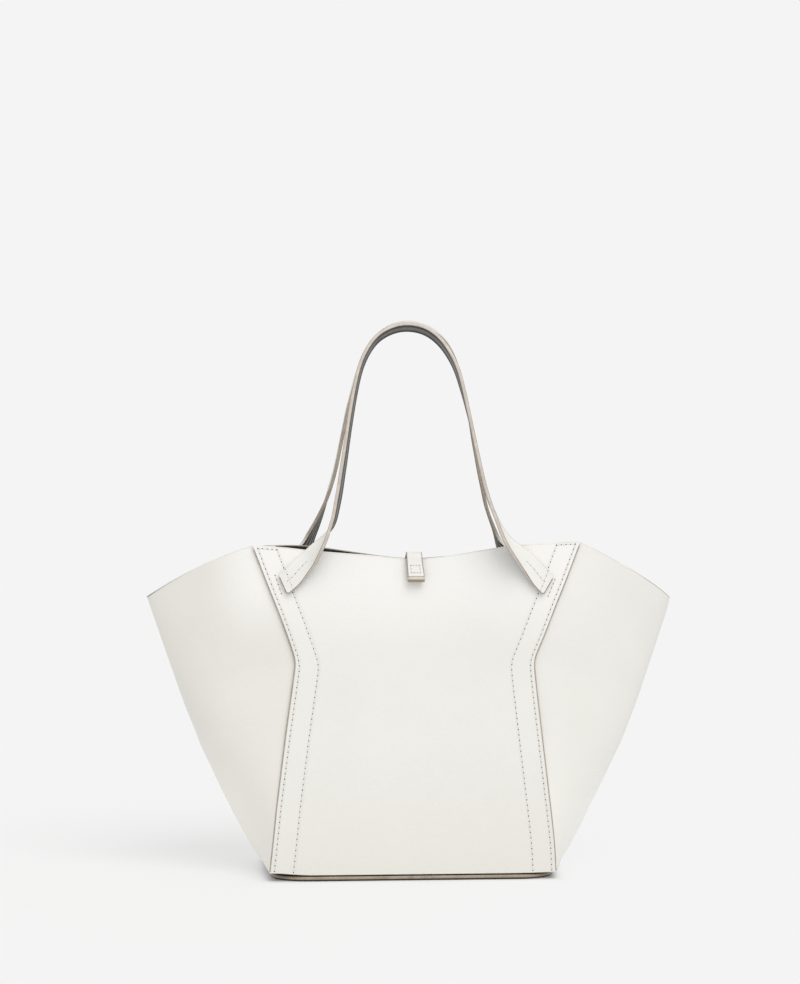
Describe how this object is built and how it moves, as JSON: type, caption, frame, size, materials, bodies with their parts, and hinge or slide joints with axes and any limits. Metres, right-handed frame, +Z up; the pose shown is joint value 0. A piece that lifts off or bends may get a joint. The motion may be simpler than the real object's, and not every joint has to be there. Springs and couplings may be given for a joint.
{
  "type": "tote bag",
  "caption": "Structured leather tote with hourglass panels lapped over flared wing gussets, twisted strap handles, a boarded base and a closure strap with tab.",
  "frame": {"origin": "centre of the underside of the base, on the floor the bag stands on", "axes": "+Z up to the handles, +X to the right seen from the front, -Y out of the front panel"},
  "size_m": [0.4926, 0.169, 0.5219],
  "materials": {
    "ivory_leather": "smooth matt ivory leather, lightly grained",
    "charcoal_leather": "matt charcoal leather",
    "strap_leather": "smooth matt ivory strap leather with painted taupe edges",
    "strap_lining": "matt charcoal strap leather with painted taupe edges",
    "edge_leather": "painted taupe leather edge",
    "stiffener_board": "raw fibreboard",
    "thread": "waxed ivory thread",
    "magnet_steel": "plain"
  },
  "bodies": {
    "bag": {"front_panel_outer": "ivory_leather", "front_panel_lining": "charcoal_leather", "back_panel_outer": "ivory_leather", "back_panel_lining": "charcoal_leather", "left_gusset_outer": "ivory_leather", "left_gusset_lining": "charcoal_leather", "right_gusset_outer": "ivory_leather", "right_gusset_lining": "charcoal_leather", "base_sole": "edge_leather", "base_board": "stiffener_board", "base_lining": "charcoal_leather", "front_left_handle_end": "strap_leather", "front_left_handle_backing": "charcoal_leather", "front_left_seam_thread": "thread", "front_right_handle_end": "strap_leather", "front_right_handle_backing": "charcoal_leather", "front_right_seam_thread": "thread", "back_left_handle_end": "strap_leather", "back_left_handle_backing": "charcoal_leather", "back_left_seam_thread": "thread", "back_right_handle_end": "strap_leather", "back_right_handle_backing": "charcoal_leather", "back_right_seam_thread": "thread", "closure_strap_anchor": "strap_leather", "panel_magnet": "magnet_steel", "panel_magnet_cover": "charcoal_leather"},
    "front_handle": {"front_handle_outer": "strap_leather", "front_handle_inner": "strap_lining"},
    "back_handle": {"back_handle_outer": "strap_leather", "back_handle_inner": "strap_lining"},
    "closure_strap": {"closure_strap_outer": "strap_leather", "closure_strap_inner": "strap_lining"},
    "closure_tab": {"closure_tab_outer": "strap_leather", "closure_tab_inner": "strap_lining", "closure_magnet": "magnet_steel"}
  },
  "joints": [
    {"name": "front_handle_swing", "type": "hinge", "parent": "bag", "child": "front_handle", "pos_m": [0, -0.07068, 0.2975], "axis": [1, 0, 0], "range_deg": [0, 135]},
    {"name": "back_handle_swing", "type": "hinge", "parent": "bag", "child": "back_handle", "pos_m": [0, 0.07068, 0.2975], "axis": [-1, 0, 0], "range_deg": [0, 135]},
    {"name": "closure_strap_lift", "type": "hinge", "parent": "bag", "child": "closure_strap", "pos_m": [0, 0.04495, 0.29055], "axis": [-1, 0, 0], "range_deg": [0, 140]},
    {"name": "closure_tab_lift", "type": "hinge", "parent": "closure_strap", "child": "closure_tab", "pos_m": [0, -0.05538, 0.30175], "axis": [-1, 0, 0], "range_deg": [0, 150]}
  ]
}
